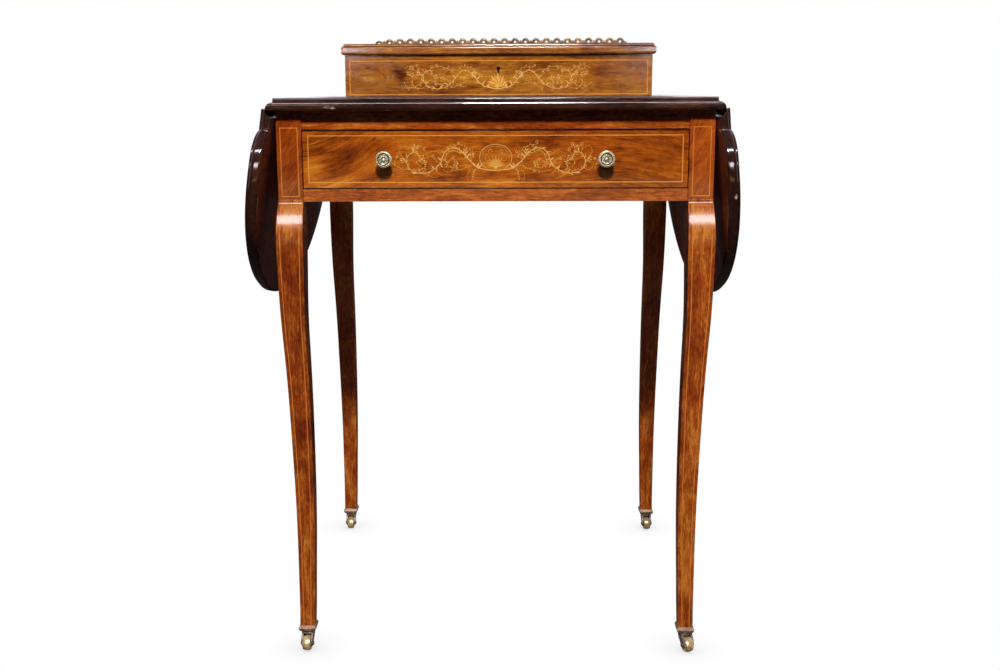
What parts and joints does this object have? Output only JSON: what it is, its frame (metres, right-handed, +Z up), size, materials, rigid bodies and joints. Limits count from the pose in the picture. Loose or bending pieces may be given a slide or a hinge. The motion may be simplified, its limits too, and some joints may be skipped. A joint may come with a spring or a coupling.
{
  "type": "bonheur du jour",
  "caption": "Small lady's writing table with a long drawer, drop leaves on rule joints, a lidded box with a brass gallery, and cabriole-tapered legs on brass casters.",
  "frame": {"origin": "on the floor below the middle of the table, at the lowest point of the casters", "axes": "+Z up, -Y out of the drawer front, +X to the right of someone facing the drawer"},
  "size_m": [0.6212, 0.5862, 0.808],
  "materials": {
    "kingwood_veneer": "french polished figured veneer with pale stringing and foliage marquetry",
    "rosewood": "french polished, pale stringing",
    "rosewood_polished": "dark, high french polish",
    "rosewood_carcase": "polished veneer, worn",
    "oak_lining": "dry unpolished oak",
    "tooled_leather": "worn skiver with blind and gold line",
    "aged_brass": "lacquered, dulled with age",
    "bright_brass": "rubbed bright on the tread",
    "steel": "dull, slightly oxidised"
  },
  "bodies": {
    "table": {"back_rail": "rosewood_carcase", "box_back": "rosewood_carcase", "box_bottom": "oak_lining", "box_front": "kingwood_veneer", "box_side_left": "rosewood_carcase", "box_side_right": "rosewood_carcase", "bracket_arms": "oak_lining", "bracket_blocks": "oak_lining", "bracket_pins": "steel", "caster_sockets": "aged_brass", "drawer_kickers": "oak_lining", "drawer_runners": "oak_lining", "drawer_stops": "oak_lining", "escutcheon": "aged_brass", "front_rail_bottom": "rosewood", "front_rail_top": "rosewood", "leaf_hinge_pins": "steel", "leaf_hinge_plates": "aged_brass", "leg_back_left": "rosewood", "leg_back_right": "rosewood", "leg_front_left": "rosewood", "leg_front_right": "rosewood", "lid_hinge_pins": "steel", "lid_hinge_plates": "aged_brass", "lock_case": "steel", "side_rail_left": "rosewood_carcase", "side_rail_right": "rosewood_carcase", "table_top": "rosewood_polished", "writing_panel": "tooled_leather"},
    "drawer": {"drawer_front": "kingwood_veneer", "drawer_side_left": "oak_lining", "drawer_side_right": "oak_lining", "drawer_back": "oak_lining", "drawer_bottom": "oak_lining", "knob_left": "aged_brass", "knob_right": "aged_brass", "knob_nuts": "steel"},
    "leaf_left": {"leaf_left": "rosewood_polished", "leaf_hinge_flaps_left": "aged_brass"},
    "leaf_right": {"leaf_right": "rosewood_polished", "leaf_hinge_flaps_right": "aged_brass"},
    "lid": {"box_lid": "rosewood_polished", "lid_hinge_flaps": "aged_brass", "lock_link_plate": "aged_brass", "gallery": "aged_brass"},
    "lock_bolt": {"lock_bolt": "steel"},
    "caster_front_left": {"caster_fork_front_left": "aged_brass", "caster_axle_front_left": "steel"},
    "wheel_front_left": {"caster_wheel_front_left": "bright_brass"},
    "caster_front_right": {"caster_fork_front_right": "aged_brass", "caster_axle_front_right": "steel"},
    "wheel_front_right": {"caster_wheel_front_right": "bright_brass"},
    "caster_back_left": {"caster_fork_back_left": "aged_brass", "caster_axle_back_left": "steel"},
    "wheel_back_left": {"caster_wheel_back_left": "bright_brass"},
    "caster_back_right": {"caster_fork_back_right": "aged_brass", "caster_axle_back_right": "steel"},
    "wheel_back_right": {"caster_wheel_back_right": "bright_brass"}
  },
  "joints": [
    {"name": "drawer_slide", "type": "slide", "parent": "table", "child": "drawer", "axis": [0, -1, 0], "range_m": [0, 0.3]},
    {"name": "leaf_left_hinge", "type": "hinge", "parent": "table", "child": "leaf_left", "pos_m": [-0.2658, 0, 0.706], "axis": [0, 1, 0], "range_deg": [0, 81.4]},
    {"name": "leaf_right_hinge", "type": "hinge", "parent": "table", "child": "leaf_right", "pos_m": [0.2658, 0, 0.706], "axis": [0, -1, 0], "range_deg": [0, 84.9]},
    {"name": "lid_hinge", "type": "hinge", "parent": "table", "child": "lid", "pos_m": [0, 0.238, 0.77575], "axis": [-1, 0, 0], "range_deg": [0, 95]},
    {"name": "lock_bolt_slide", "type": "slide", "parent": "table", "child": "lock_bolt", "axis": [1, 0, 0], "range_m": [0, 0.0035]},
    {"name": "swivel_front_left", "type": "hinge", "parent": "table", "child": "caster_front_left", "pos_m": [-0.2496, -0.2211, 0.03], "axis": [0, 0, 1], "continuous": true},
    {"name": "roll_front_left", "type": "hinge", "parent": "caster_front_left", "child": "wheel_front_left", "pos_m": [-0.25026, -0.23058, 0.0098], "axis": [0.9976, -0.0698, 0], "continuous": true},
    {"name": "swivel_front_right", "type": "hinge", "parent": "table", "child": "caster_front_right", "pos_m": [0.2496, -0.2211, 0.03], "axis": [0, 0, 1], "continuous": true},
    {"name": "roll_front_right", "type": "hinge", "parent": "caster_front_right", "child": "wheel_front_right", "pos_m": [0.25254, -0.23014, 0.0098], "axis": [0.9511, 0.309, 0], "continuous": true},
    {"name": "swivel_back_left", "type": "hinge", "parent": "table", "child": "caster_back_left", "pos_m": [-0.2496, 0.2211, 0.03], "axis": [0, 0, 1], "continuous": true},
    {"name": "roll_back_left", "type": "hinge", "parent": "caster_back_left", "child": "wheel_back_left", "pos_m": [-0.24943, 0.2116, 0.0098], "axis": [0.9998, 0.0175, 0], "continuous": true},
    {"name": "swivel_back_right", "type": "hinge", "parent": "table", "child": "caster_back_right", "pos_m": [0.2496, 0.2211, 0.03], "axis": [0, 0, 1], "continuous": true},
    {"name": "roll_back_right", "type": "hinge", "parent": "caster_back_right", "child": "wheel_back_right", "pos_m": [0.25026, 0.21162, 0.0098], "axis": [0.9976, 0.0698, 0], "continuous": true}
  ]
}
